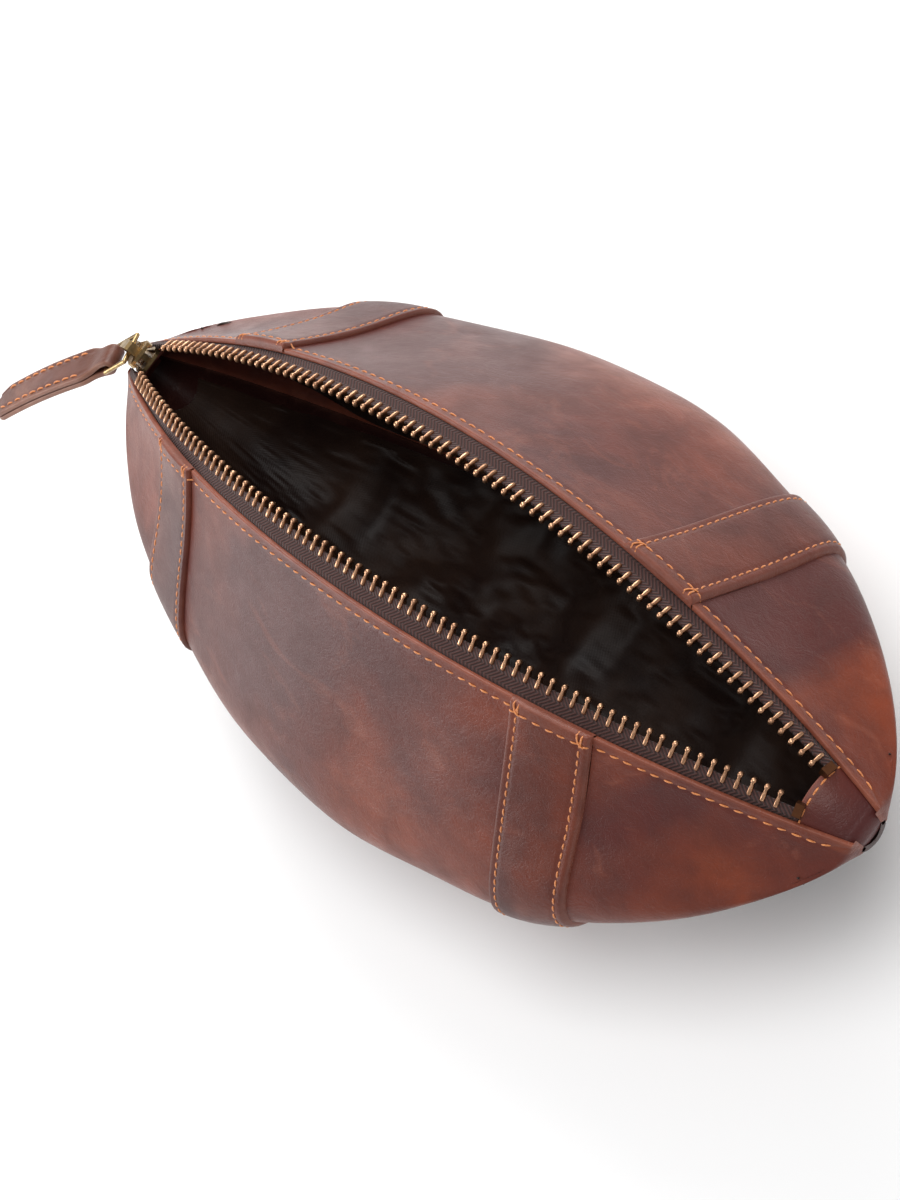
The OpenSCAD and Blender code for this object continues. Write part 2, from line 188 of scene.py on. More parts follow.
def chain_height(x):
    half = (ZIP_END - ZIP_START) / 2
    return CHAIN_END_RISE + CHAIN_RISE * arc_share(x - (ZIP_END + ZIP_START) / 2, half, CHAIN_RISE)


def chain_point(x):
    h = chain_height(x)
    return np.array([x, CHAIN_HALF_GAP + h * math.sin(OPEN_ANGLE), TIP_HEIGHT + h * math.cos(OPEN_ANGLE)])


# ---- mesh helpers
def new_object(name, vertices, faces, material, uv=None, smooth_angle=50, attributes=None):
    """Mesh object from millimetre vertices. uv and attributes are given per vertex."""
    mesh = bpy.data.meshes.new(name)
    vertices = np.asarray(vertices, float)
    mesh.from_pydata((vertices * MM).tolist(), [], faces)
    rest = mesh.attributes.new("rest_place", "FLOAT_VECTOR", "POINT")
    rest.data.foreach_set("vector", (vertices * MM).ravel())
    for key, values in (attributes or {}).items():
        layer = mesh.attributes.new(key, "FLOAT", "POINT")
        layer.data.foreach_set("value", np.asarray(values, np.float32))
    if uv is not None:
        corners = np.empty(len(mesh.loops), int)
        mesh.loops.foreach_get("vertex_index", corners)
        layer = mesh.uv_layers.new(name="UVMap")
        layer.data.foreach_set("uv", (np.asarray(uv, float)[corners] * MM).ravel())
    work = bmesh.new()
    work.from_mesh(mesh)
    bmesh.ops.recalc_face_normals(work, faces=work.faces)
    work.to_mesh(mesh)
    work.free()
    mesh.shade_smooth()
    mesh.set_sharp_from_angle(angle=math.radians(smooth_angle))
    mesh.materials.append(material)
    obj = bpy.data.objects.new(name, mesh)
    bpy.context.scene.collection.objects.link(obj)
    return obj


def loft(rows, closed=True, caps=True):
    """(vertices, faces) through rows of points of one length; closed joins each row's ends."""
    rows = np.asarray(rows, float)
    count, width = rows.shape[:2]
    faces = []
    span = width if closed else width - 1
    for i in range(count - 1):
        for j in range(span):
            k = (j + 1) % width
            faces.append((i * width + j, (i + 1) * width + j, (i + 1) * width + k, i * width + k))
    if caps and closed:
        faces.append(tuple(range(width)))
        faces.append(tuple(range((count - 1) * width, count * width))[::-1])
    return rows.reshape(-1, 3), faces


def join_parts(parts):
    """One (vertices, faces) from several."""
    vertices, faces, start = [], [], 0
    for v, f in parts:
        vertices.append(v)
        faces.extend(tuple(i + start for i in face) for face in f)
        start += len(v)
    return np.concatenate(vertices), faces


def smooth_step(v):
    v = np.clip(v, 0, 1)
    return v * v * (3 - 2 * v)


# ---- material helpers
class Shader:
    """Small helper round one node material."""

    def __init__(self, name):
        self.material = bpy.data.materials.new(name)
        self.material.use_nodes = True
        self.tree = self.material.node_tree
        self.bsdf = self.tree.nodes["Principled BSDF"]
        self.place = self.node("ShaderNodeAttribute", attribute_name="rest_place").outputs["Vector"]

    def node(self, kind, inputs=None, **settings):
        made = self.tree.nodes.new(kind)
        for key, value in settings.items():
            setattr(made, key, value)
        for key, value in (inputs or {}).items():
            self.put(made.inputs[key], value)
        return made

    def put(self, socket, value):
        if isinstance(value, bpy.types.NodeSocket):
            self.tree.links.new(value, socket)
        else:
            socket.default_value = value

    def noise(self, scale, detail=3.0, roughness=0.55, place=None, distortion=0.0):
        inputs = {"Vector": place or self.place, "Scale": scale, "Detail": detail,
                  "Roughness": roughness, "Distortion": distortion}
        return self.node("ShaderNodeTexNoise", inputs).outputs["Fac"]

    def voronoi(self, scale, feature="F1", place=None):
        return self.node("ShaderNodeTexVoronoi", {"Vector": place or self.place, "Scale": scale},
                         feature=feature).outputs["Distance"]

    def stretch(self, factors, turn=(0, 0, 0)):
        made = self.node("ShaderNodeMapping", {"Vector": self.place, "Scale": factors, "Rotation": turn})
        return made.outputs["Vector"]

    def shift(self, place):
        return self.node("ShaderNodeMapping", {"Vector": self.place, "Location": place}).outputs["Vector"]

    def remap(self, value, low, high, to_low=0.0, to_high=1.0):
        return self.node("ShaderNodeMapRange", {"Value": value, "From Min": low, "From Max": high,
                                                "To Min": to_low, "To Max": to_high}).outputs["Result"]

    def math(self, operation, a, b=0.0):
        return self.node("ShaderNodeMath", {0: a, 1: b}, operation=operation).outputs["Value"]

    def mix(self, factor, a, b, blend="MIX"):
        made = self.node("ShaderNodeMix", data_type="RGBA", blend_type=blend)
        self.put(made.inputs["Factor"], factor)
        self.put(made.inputs["A"], a)
        self.put(made.inputs["B"], b)
        return made.outputs["Result"]

    def attribute(self, name):
        return self.node("ShaderNodeAttribute", attribute_name=name).outputs["Fac"]

    def bump(self, height, distance, strength=1.0, normal=None):
        made = self.node("ShaderNodeBump", {"Height": height, "Distance": distance, "Strength": strength})
        if normal is not None:
            self.put(made.inputs["Normal"], normal)
        return made.outputs["Normal"]

    def set(self, **values):
        names = {"color": "Base Color", "metallic": "Metallic", "roughness": "Roughness",
                 "specular": "Specular IOR Level", "sheen": "Sheen Weight",
                 "sheen_roughness": "Sheen Roughness", "normal": "Normal"}
        for key, value in values.items():
            self.put(self.bsdf.inputs[names[key]], value)


def srgb(r, g, b):
    """Linear colour from 0-255 display values."""
    def channel(c):
        c /= 255
        return c / 12.92 if c <= 0.04045 else ((c + 0.055) / 1.055) ** 2.4
    return channel(r), channel(g), channel(b), 1.0


def leather_material(name, base, warm, pale, seed):
    """Waxed pull-up leather: clouded colour, fine grain, scuffs, and paler worn edges."""
    sh = Shader(name)
    shifted = sh.shift((seed, seed * 0.7, seed * 1.3))
    cloud = sh.noise(14, 3, 0.5, shifted, 0.6)
    mottle = sh.noise(75, 4, 0.6, shifted, 0.3)
    colour = sh.mix(sh.remap(cloud, 0.4, 0.62), base, warm)
    dark = tuple(c * 0.5 for c in base[:3]) + (1,)
    colour = sh.mix(sh.remap(mottle, 0.3, 0.75, 0.0, 0.6), colour, dark)
    scuff = sh.noise(30, 5, 0.68, sh.stretch((1, 1.6, 2.4), (0.3, 0.5, 0.2)), 1.2)
    colour = sh.mix(sh.remap(scuff, 0.56, 0.78, 0.0, 0.42), colour, pale)
    patches = sh.remap(sh.noise(55, 3, 0.6), 0.3, 0.7, 0.05, 0.4)
    colour = sh.mix(sh.math("MULTIPLY", sh.attribute("folded"), patches), colour, RIM)
    worn = sh.attribute("worn")
    rubbed = sh.math("MULTIPLY", worn, sh.remap(sh.noise(160, 3, 0.6), 0.3, 0.7, 0.35, 1.0))
    colour = sh.mix(rubbed, colour, pale)
    sh.set(color=colour)
    rough = sh.remap(mottle, 0.3, 0.7, 0.3, 0.44)
    sh.set(roughness=rough, specular=0.32)
    pores = sh.voronoi(820, "DISTANCE_TO_EDGE")
    grain = sh.math("ADD", sh.math("MULTIPLY", sh.remap(pores, 0.0, 0.12), 0.6), sh.noise(1500, 3, 0.7))
    fine = sh.bump(grain, 0.00009, 0.4)
    crease = sh.noise(120, 6, 0.72, sh.stretch((1, 1, 1.7), (0.2, 0.1, 0.4)), 1.5)
    sh.set(normal=sh.bump(crease, 0.0007, 0.35, fine))
    return sh.material


def thread_material():
    sh = Shader("thread")
    strands = sh.noise(2600, 2, 0.5)
    colour = sh.mix(sh.remap(strands, 0.35, 0.65), srgb(184, 104, 50), srgb(222, 142, 80))
    sh.set(color=colour, roughness=0.55, sheen=0.2, normal=sh.bump(strands, 0.0001, 0.6))
    return sh.material


def tape_material():
    """Woven zip tape: herringbone in the strip's own UV, in metres."""
    sh = Shader("zip_tape")
    uv = sh.node("ShaderNodeUVMap", uv_map="UVMap").outputs["UV"]
    parts = sh.node("ShaderNodeSeparateXYZ", {"Vector": uv})
    along, across = parts.outputs["X"], parts.outputs["Y"]
    column, rib = 0.0024, 0.0012
    in_column = sh.math("FRACT", sh.math("DIVIDE", across, 2 * column))
    fold = sh.math("ABSOLUTE", sh.math("SUBTRACT", in_column, 0.5))
    slant = sh.math("ADD", along, sh.math("MULTIPLY", fold, 2 * column))
    twill = sh.math("SINE", sh.math("MULTIPLY", slant, 2 * math.pi / rib))
    twill = sh.remap(twill, -1, 1)
    fuzz = sh.noise(1800, 3, 0.7)
    # The colour follows the twill: lighter on its raised ribs and darker between them, painted highlight and
    # painted shade of the weave over its bump.
    colour = sh.mix(sh.remap(twill, 0.1, 0.9), srgb(40, 22, 20), srgb(76, 45, 41))
    colour = sh.mix(sh.remap(fuzz, 0.4, 0.8, 0, 0.3), colour, srgb(86, 57, 46))
    sh.set(color=colour, roughness=0.8, sheen=0.1, sheen_roughness=0.4)
    sh.set(normal=sh.bump(sh.math("ADD", twill, sh.math("MULTIPLY", fuzz, 0.5)), 0.0003, 0.9))
    return sh.material


def metal_material(name, bright, dark, low=0.24, high=0.46, scale=260):
    """Antique plated metal: worn bright on the raised parts, dark in the hollows."""
    sh = Shader(name)
    patina = sh.noise(scale, 4, 0.6)
    hollow = sh.node("ShaderNodeNewGeometry").outputs["Pointiness"]
    raised = sh.remap(hollow, 0.46, 0.54)
    colour = sh.mix(sh.remap(patina, 0.35, 0.72, 0.0, 0.65), bright, dark)
    colour = sh.mix(sh.math("MULTIPLY", sh.math("SUBTRACT", 1.0, raised), 0.6), colour, dark)
    sh.set(color=colour, metallic=1.0, roughness=sh.remap(patina, 0.3, 0.7, low, high))
    sh.set(normal=sh.bump(sh.noise(2400, 2, 0.5), 0.00004, 0.4))
    return sh.material


def lining_material():
    """Dark coated lining cloth with a soft shine."""
    sh = Shader("lining")
    uv = sh.node("ShaderNodeUVMap", uv_map="UVMap").outputs["UV"]
    parts = sh.node("ShaderNodeSeparateXYZ", {"Vector": uv})
    warp = sh.math("SINE", sh.math("MULTIPLY", parts.outputs["X"], 2 * math.pi / 0.0006))
    weft = sh.math("SINE", sh.math("MULTIPLY", parts.outputs["Y"], 2 * math.pi / 0.0006))
    weave = sh.math("MULTIPLY", warp, weft)
    cloud = sh.noise(40, 3, 0.6)
    colour = sh.mix(sh.remap(cloud, 0.35, 0.7), srgb(30, 15, 11), srgb(52, 33, 23))
    sh.set(color=colour, roughness=sh.remap(cloud, 0.3, 0.7, 0.42, 0.56), specular=0.3, sheen=0.05)
    small = sh.noise(60, 2, 0.5, None, 0.8)
    sh.set(normal=sh.bump(small, 0.0006, 0.4, sh.bump(weave, 0.00005, 0.4)))
    return sh.material


RIM = srgb(130, 66, 42)
# Main, warmer and worn colour of each leather, and where its pattern starts
LEATHERS = {
    "panel_leather": ((82, 35, 30), (122, 54, 31), (146, 84, 64), 0.0),
    "band_leather": ((76, 33, 29), (104, 47, 31), (134, 78, 62), 3.1),
    # The base leather's colours are darker than the panels': painted shade for the underside of the bag.
    "base_leather": ((52, 26, 24), (60, 31, 24), (112, 72, 60), 5.3),
    "tab_leather": ((80, 34, 32), (104, 46, 32), (146, 92, 80), 7.7),
    "puller_leather": ((96, 56, 46), (112, 64, 44), (160, 116, 96), 9.2),
}
MATERIALS = {name: leather_material(name, srgb(*main), srgb(*warm), srgb(*pale), seed)
             for name, (main, warm, pale, seed) in LEATHERS.items()}
MATERIALS.update({
    "lining": lining_material(),
    "zip_tape": tape_material(),
    "zip_metal": metal_material("zip_metal", srgb(204, 158, 124), srgb(84, 50, 37)),
    "stop_metal": metal_material("stop_metal", srgb(112, 72, 48), srgb(52, 30, 22), 0.35, 0.55),
    "slider_metal": metal_material("slider_metal", srgb(178, 150, 106), srgb(60, 46, 32), 0.2, 0.4),
    "thread": thread_material(),
})


def bend_with_mouth(obj):
    """Bakes the piece's place into its mesh."""
    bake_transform(obj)


def finish_piece(obj, body, slot, *nodes):
    """Bakes the piece in place or lets it ride its body, and hides the CAD nodes it stands for; slot is not
    used.
    """
    if body in SIDES:
        bend_with_mouth(obj)
    else:
        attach(obj, body)
    if nodes:
        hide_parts(*nodes)
    return obj


# ---- leather panels
STATIONS = HALF_LENGTH * np.sin(np.linspace(-math.pi / 2, math.pi / 2, 231))
SECTIONS = [Section(x) for x in STATIONS]
FOLD_RAISE, FOLD_REACH, STITCH_INSET, GROOVE = 0.06, 6.0, 2.9, 0.2
FOLDED_STRIP, NOSE, NOSE_POWER = 2.5, 0.6, 0.6
SEAM_ROLL = 1.6


def fold_lift(s):
    """How far the folded mouth edge stands up, with a groove under its stitches."""
    return (FOLD_RAISE * (1 - smooth_step((s - 2) / FOLD_REACH))
            - GROOVE * np.exp(-((s - STITCH_INSET) / 0.7) ** 2))


def seam_roll(left):
    """How far the leather has rolled in towards a seam that is this near."""
    return SEAM_ROLL - np.sqrt(np.maximum(0, SEAM_ROLL ** 2 - (SEAM_ROLL - left) ** 2))


def shrink(section):
    """Edge details get smaller where the panel narrows to its tips."""
    return min(1.0, section.length / 26)


NEAR_ROWS = np.array([NOSE, 0.8, 1.1, 1.5, 1.9, 2.3, 2.7, 3.1, 3.5, 4.0, 4.8, 6.0, 7.5])
FAR_ROWS = 56
END_ROWS = np.array([1.6, 1.2, 0.8, 0.5, 0.25, 0.08, 0.0])


def panel_loop(section, side):
    """Closed outline of a panel's cross-section: inner face, mouth roll, outer face, seam roll."""
    q = shrink(section)
    near = NEAR_ROWS * q
    end = section.length - END_ROWS * q
    middle = np.linspace(near[-1], end[0], FAR_ROWS + 2)[1:-1]
    outer_s = np.concatenate([near, middle, end])
    lift = fold_lift(outer_s / q) * q
    left = np.clip((section.length - outer_s) / q, 0, SEAM_ROLL)
    lift = lift - seam_roll(left) * q * 0.75
    outer = section.point(outer_s, lift, side)
    centre, radius = (lift[0] - LEATHER) / 2, (lift[0] + LEATHER) / 2
    angles = np.linspace(-math.pi / 2, math.pi / 2, 12)[1:-1]
    nose_s = NOSE * q * (1 - np.cos(angles) ** NOSE_POWER)
    nose_lift = centre + radius * np.sign(np.sin(angles)) * np.abs(np.sin(angles)) ** NOSE_POWER
    roll = section.point(nose_s, nose_lift, side)
    inner_s = np.concatenate([np.linspace(section.length, near[-1], 24), [near[6], NOSE * q]])
    inner = section.point(inner_s, -LEATHER, side)
    start = len(inner) // 2
    points = np.concatenate([inner[start:], roll, outer, inner[:start]])
    along = np.concatenate([inner_s[start:], nose_s, outer_s, inner_s[:start]])
    return points, along


def worn_edge(distance, reach=1.6):
    return np.clip(1 - np.abs(distance) / reach, 0, 1) ** 1.3


def leather_panel(half):
    side = SIDES[half]
    loops = [panel_loop(section, side) for section in SECTIONS]
    vertices, faces = loft([points for points, _ in loops])
    s = np.concatenate([along for _, along in loops])
    length = np.repeat([section.length for section in SECTIONS], len(loops[0][1]))
    worn = np.maximum(worn_edge(s, 1.1) * 0.8, worn_edge(length - s, 2.0) * 0.5)
    folded = 1 - smooth_step((s - FOLDED_STRIP) / 0.7)
    uv = np.stack([vertices[:, 0], s], 1)
    obj = new_object(f"{half}_panel_skin", vertices, faces, MATERIALS["panel_leather"], uv,
                     attributes={"worn": worn, "folded": folded})
    finish_piece(obj, half, "panel_leather", f"{half}_panel")


# ---- bands
BAND_STITCH_INSET = 2.5
NOSE_LOW = -1.1
BAND_ROW_OFFSETS = (-BAND_WIDTH / 2 + BAND_STITCH_INSET, BAND_WIDTH / 2 - BAND_STITCH_INSET)


def band_lift(across):
    """Height of a band's top face over the panel, across its width."""
    edge = BAND_WIDTH / 2 - np.abs(across)
    rounding = np.sqrt(np.clip(1 - (1 - np.clip(edge / 0.9, 0, 1)) ** 2, 0, 1))
    groove = sum(0.28 * np.exp(-((across - o) / 0.6) ** 2) for o in BAND_ROW_OFFSETS)
    crown = 0.35 * (1 - (2 * across / BAND_WIDTH) ** 2)
    return 0.02 + (BAND_GAP + BAND_THICK + crown) * rounding - groove


BAND_ACROSS = np.concatenate([[-0.5, -0.496, -0.485, -0.47, -0.455, -0.43], np.linspace(-0.41, 0.41, 29),
                              [0.43, 0.455, 0.47, 0.485, 0.496, 0.5]]) * BAND_WIDTH


def band_rows(section):
    """Distances along a band, with its folded end just over the mouth edge."""
    q = shrink(section)
    return np.concatenate([[-0.3, -0.42, -0.3], NEAR_ROWS * q - 0.45 * q,
                           np.linspace(NEAR_ROWS[-1] * q, section.length, 58)[1:]])


def band(half, end):
    side, middle = SIDES[half], BAND_MIDDLES[end]
    rows = []
    worn, folded, uv = [], [], []
    for across in BAND_ACROSS:
        section = Section(middle + across)
        s = band_rows(section)
        top = band_lift(across)
        lift = np.full(s.shape, top) + fold_lift(np.maximum(s, 0)) * 0.9
        lift[:3] = NOSE_LOW + (lift[3] - NOSE_LOW) * np.array([0.0, 0.5, 0.86])
        outer = section.point(s, lift, side)
        inner = section.point(s[::-1], np.full(s.shape, -0.02), side)
        rows.append(np.concatenate([outer, inner]))
        edge = BAND_WIDTH / 2 - abs(across)
        w = np.maximum(worn_edge(edge, 0.9) * 0.6, worn_edge(s + 0.3, 1.0) * 0.8)
        worn.append(np.concatenate([w, w[::-1]]))
        strip = 1 - smooth_step((edge - BAND_STITCH_INSET + 0.4) / 0.8)
        f = np.maximum(0.55 * strip, 1 - smooth_step((s - FOLDED_STRIP) / 0.7))
        folded.append(np.concatenate([f, f[::-1]]))
        uv.append(np.concatenate([np.stack([np.full(s.shape, across), s], 1)] * 2))
    vertices, faces = loft(rows)
    obj = new_object(f"{half}_{end}_band_skin", vertices, faces, MATERIALS["band_leather"],
                     np.concatenate(uv),
                     attributes={"worn": np.concatenate(worn), "folded": np.concatenate(folded)})
    finish_piece(obj, half, "band_leather", f"{half}_{end}_band")


# ---- stitches
THREAD_RADIUS = 0.24


def stitch(points, normals, radius):
    """One stitch over 5 places: a thread that rises out of the leather and dips back in."""
    rise = np.array([-0.7, 0.35, 0.6, 0.35, -0.7]) * radius
    size = np.array([0.75, 1.0, 1.08, 1.0, 0.75]) * radius
    tangent = np.gradient(points, axis=0)
    tangent /= np.linalg.norm(tangent, axis=1)[:, None]
    across = np.cross(tangent, normals)
    across /= np.linalg.norm(across, axis=1)[:, None]
    angles = np.arange(7) * 2 * math.pi / 7
    rows = [p + n * h + r * (np.outer(np.cos(angles), a) + np.outer(np.sin(angles), n))
            for p, n, a, h, r in zip(points, normals, across, rise, size)]
    return loft(rows)


def stitch_row(path, normals, pitch, length, radius=THREAD_RADIUS, seed=0, slant=0.0):
    """Stitches along a dense path, evenly spaced, each a little different."""
    rng = np.random.default_rng(seed)
    place = np.concatenate([[0], np.cumsum(np.linalg.norm(np.diff(path, axis=0), axis=1))])
    count = int(place[-1] // pitch)
    first = (place[-1] - count * pitch) / 2 + pitch / 2
    made = []
    for i in range(count):
        middle = first + i * pitch + rng.normal(0, 0.08)
        size = length * (1 + rng.normal(0, 0.04))
        at = middle + size * np.linspace(-0.5, 0.5, 5)
        p = np.stack([np.interp(at, place, path[:, k]) for k in range(3)], 1)
        n = np.stack([np.interp(at, place, normals[:, k]) for k in range(3)], 1)
        n /= np.linalg.norm(n, axis=1)[:, None]
        t = p[-1] - p[0]
        aside = np.cross(n[2], t / np.linalg.norm(t))
        p = p + np.outer(np.linspace(-1, 1, 5) * (slant + rng.normal(0, 0.05)), aside)
        made.append(stitch(p, n, radius))
    return made


def on_leather(x, s, lift, side):
    """Points and outward normals on the leather at stations x and distances s."""
    points, normals = [], []
    for xi, si, li in zip(x, s, lift):
        section = Section(xi)
        a = section.point(np.array([si]), np.array([li]), side)[0]
        b = section.point(np.array([si]), np.array([li + 1.0]), side)[0]
        points.append(a)
        normals.append(b - a)
    return np.array(points), np.array(normals)


def band_cover(x):
    """Height of a band over the panel where a row along the mouth crosses it."""
    lift = 0.0
    for middle in BAND_MIDDLES.values():
        if abs(x - middle) < BAND_WIDTH / 2:
            lift = float(band_lift(x - middle))
    return lift


MOUTH_PITCH, MOUTH_STITCH, BAND_PITCH, BAND_STITCH = 3.7, 2.5, 2.75, 2.1


def mouth_stitches(side, seed):
    x = np.linspace(-HALF_LENGTH + 2.5, HALF_LENGTH - 2.5, 420)
    scale = np.array([shrink(Section(v)) for v in x])
    s = STITCH_INSET * np.maximum(scale, 0.55)
    lift = np.array([band_cover(v) for v in x]) + fold_lift(np.full(x.shape, STITCH_INSET)) * scale
    path, normals = on_leather(x, s, lift, side)
    return stitch_row(path, normals, MOUTH_PITCH, MOUTH_STITCH, seed=seed, slant=0.12)


def band_stitches(side, middle, seed):
    made = []
    for k, offset in enumerate(BAND_ROW_OFFSETS):
        x = middle + offset
        length = Section(x).length
        s = np.linspace(0.8, length - 1.5, 160)
        lift = np.full(s.shape, float(band_lift(offset))) + fold_lift(s) * 0.9
        path, normals = on_leather(np.full(s.shape, x), s, lift, side)
        made += stitch_row(path, normals, BAND_PITCH, BAND_STITCH, seed=seed + k, slant=0.1)
        made += corner_tack(side, x, float(band_lift(offset)), seed + 40 + k)
    return made


# Angle from the band's length, shift along the bag, middle and half length of each stitch
TACKS = ((0.1, -0.55, 1.2, 1.75), (-0.12, 0.6, 1.3, 1.7), (0.85, 0.2, 2.7, 1.3), (-0.7, -0.1, 2.6, 1.2))


def corner_tack(side, x, lift, seed):
    """A few stitches that lock a band's corner: two over the mouth edge and two that cross."""
    rng = np.random.default_rng(seed)
    made = []
    k = np.linspace(-1, 1, 13)
    for angle, shift, middle, reach in TACKS:
        reach = reach + rng.normal(0, 0.06)
        px = x + shift + k * reach * math.sin(angle)
        ps = middle + k * reach * math.cos(angle)
        over = np.clip(-ps / 0.5, 0, 1)
        path, normals = on_leather(px, ps, lift + 0.22 - 1.0 * over ** 2, side)
        made += stitch_row(path, normals, 2 * reach, 1.96 * reach, seed=seed)
    return made


def leather_stitches(half):
    side = SIDES[half]
    made = mouth_stitches(side, 11 + side)
    for k, middle in enumerate(BAND_MIDDLES.values()):
        made += band_stitches(side, middle, 100 * (k + 1) + side)
    vertices, faces = join_parts(made)
    obj = new_object(f"{half}_stitching", vertices, faces, MATERIALS["thread"])
    finish_piece(obj, half, "thread")


# ---- base
BASE_STATIONS = HALF_LENGTH * np.sin(np.linspace(-math.pi / 2, math.pi / 2, 161))
BASE_ACROSS = np.concatenate([[1, 0.985, 0.97], np.linspace(0.95, -0.95, 45), [-0.97, -0.985, -1]])


def base_height(x, v):
    keel = (TIP_HEIGHT - TIP_DEPTH - SEAM_HEIGHT) * (np.abs(x) / HALF_LENGTH) ** KEEL_POWER
    raw = keel + (seam_z(x) - keel) * v * v - FLAT_CUT * (1 - v * v)
    return np.maximum(0.0, raw)


def base_row(x, lift, pull):
    """One row across the base; the last millimetres turn up into the seam."""
    half = seam_y(x) - pull
    v = BASE_ACROSS
    roll = seam_roll(np.clip(half * (1 - np.abs(v)), 0, SEAM_ROLL))
    z = base_height(x, v) + lift + (0.55 * roll if lift == 0 else 0)
    return np.stack([np.full(v.shape, x), v * half, z], -1)


def base_panel():
    rows = [np.concatenate([base_row(x, 0, 0.25), base_row(x, LEATHER, 1.4)[::-1]]) for x in BASE_STATIONS]
    vertices, faces = loft(rows)
    edge = np.concatenate([np.abs(BASE_ACROSS), np.abs(BASE_ACROSS[::-1])])
    worn = np.tile(np.clip((edge - 0.96) / 0.04, 0, 1) * 0.4, len(BASE_STATIONS))
    obj = new_object("base_panel_skin", vertices, faces, MATERIALS["base_leather"],
                     vertices[:, :2], attributes={"worn": worn})
    finish_piece(obj, "bag", "base_leather", "base_panel")


# ---- end tabs
# Length, rise of the crown over the sides at its zip end, and depth of the sides under the leather edges
TABS = {"right": (14.0, 3.2, 2.0), "left": (6.0, 0.6, 2.6)}
TAB_THICK, TAB_REACH, TAB_ROLL, TAB_FACE = 1.4, 3.4, 2.6, 5.0
TAB_ACROSS = np.linspace(-1, 1, 41)
TAB_FALL, TAB_STITCHED_ROW, TAB_PITCH, TAB_STITCH = 2.2, 3, 3.0, 2.2


def tab_row(x, out_x, drop, crown, sink, reach):
    """One row across a tab: a crown whose sides run in under the two panels."""
    x = min(x, HALF_LENGTH - 0.02)
    section = Section(x)
    under = section.point(np.array([reach]), np.array([-LEATHER - 0.3]), 1)[0]
    edge = float(edge_y(x))
    inside = np.abs(TAB_ACROSS * under[1]) / edge
    dome = np.cos(np.clip(inside, 0, 1) * math.pi / 2) ** 0.8
    side_z = float(edge_z(x)) - sink
    z = side_z + crown * dome - (side_z - under[2]) * smooth_step((inside - 0.8) / 0.7)
    return np.stack([np.full(TAB_ACROSS.shape, out_x), TAB_ACROSS * under[1], z - drop], -1)


def tab_surface(end):
    """Rows of a tab's outer face: along the bag, over its rounded tip and down to the base seam."""
    length, crown, sink = TABS[end]
    start = HALF_LENGTH - length
    flat_end = HALF_LENGTH - TAB_ROLL
    rows = []
    for x in np.linspace(start, flat_end, 26):
        share = (x - start) / length
        reach = TAB_REACH * shrink(Section(x))
        rows.append(tab_row(x, x, 0.0, crown * (1 - share ** TAB_FALL), sink, reach))
    left = crown * (1 - ((flat_end - start) / length) ** TAB_FALL)
    for angle in np.linspace(0, math.pi / 2, 12)[1:]:
        x = flat_end + TAB_ROLL * math.sin(angle)
        drop = TAB_ROLL * 0.8 * (1 - math.cos(angle))
        rows.append(tab_row(x, x, drop, left * math.cos(angle), sink, 0.5))
    for _ in range(3):
        row = rows[-1].copy()
        row[:, 2] -= (TAB_FACE - TAB_ROLL) / 3
        row[:, 0] -= 0.12
        rows.append(row)
    return np.array(rows)


def end_tab(end):
    flip = 1 if end == "right" else -1
    outer = tab_surface(end)
    along = np.gradient(outer, axis=0)
    across = np.gradient(outer, axis=1)
    normal = np.cross(along, across)
    normal /= np.maximum(np.linalg.norm(normal, axis=2), 1e-9)[:, :, None]
    inner = outer - normal * TAB_THICK
    outer[0] -= normal[0] * 0.35
    inner[0] += normal[0] * 0.35
    loops = np.concatenate([outer, inner[:, ::-1]], 1)
    from_zip = np.abs(loops[:, :, 0] - outer[0, 0, 0])
    loops[:, :, 0] *= flip
    vertices, faces = loft(loops)
    from_zip = from_zip.ravel()
    worn = worn_edge(from_zip, 0.9) * 0.9
    folded = 1 - smooth_step((from_zip - 1.9) / 0.6)
    obj = new_object(f"{end}_end_tab_skin", vertices, faces, MATERIALS["tab_leather"],
                     vertices[:, :2], attributes={"worn": worn, "folded": folded})
    finish_piece(obj, "bag", "tab_leather", f"{end}_end_tab")
    outer, normal = outer[TAB_STITCHED_ROW], normal[TAB_STITCHED_ROW]
    seen = np.abs(outer[:, 1]) < edge_y(outer[0, 0]) + 0.6
    mirror = np.array([flip, 1, 1])
    stitches = stitch_row(outer[seen] * mirror, normal[seen] * mirror, TAB_PITCH, TAB_STITCH, seed=71)
    vertices, faces = join_parts(stitches)
    obj = new_object(f"{end}_tab_stitching", vertices, faces, MATERIALS["thread"])
    finish_piece(obj, "bag", "thread")


# ---- zip tape
TAPE_UNDER, TAPE_DIP = 6.5, 3.6
TAPE_STATIONS = np.linspace(ZIP_START - 7, ZIP_END + 6, 260)


def tape_line(x):
    """Centre line of the tape from inside the teeth to under the leather, for the back half."""
    section = Section(x)
    c = chain_point(x) - np.array([0, 0, TAPE_DIP * float(smooth_step((x - ZIP_END - 0.2) / 2.2))])
    out = np.array([0, math.cos(OPEN_ANGLE), -math.sin(OPEN_ANGLE)])
    depth = -(LEATHER + LAYER_GAP + TAPE_THICK / 2)
    q = shrink(section)
    edge, far = section.point(np.array([0, TAPE_UNDER * q]), np.full(2, depth), 1)
    a, b = c + out * 0.6, c + out * 2.6
    k = np.linspace(0, 1, 12)[:, None]
    middle = (1 - k) ** 2 * b + 2 * k * (1 - k) * ((b + edge) / 2 + np.array([0, 0.3, -0.5])) + k * k * edge
    under = [edge * 0.67 + far * 0.33, edge * 0.33 + far * 0.67, far]
    return np.concatenate([[a, (a + b) / 2], middle, under])


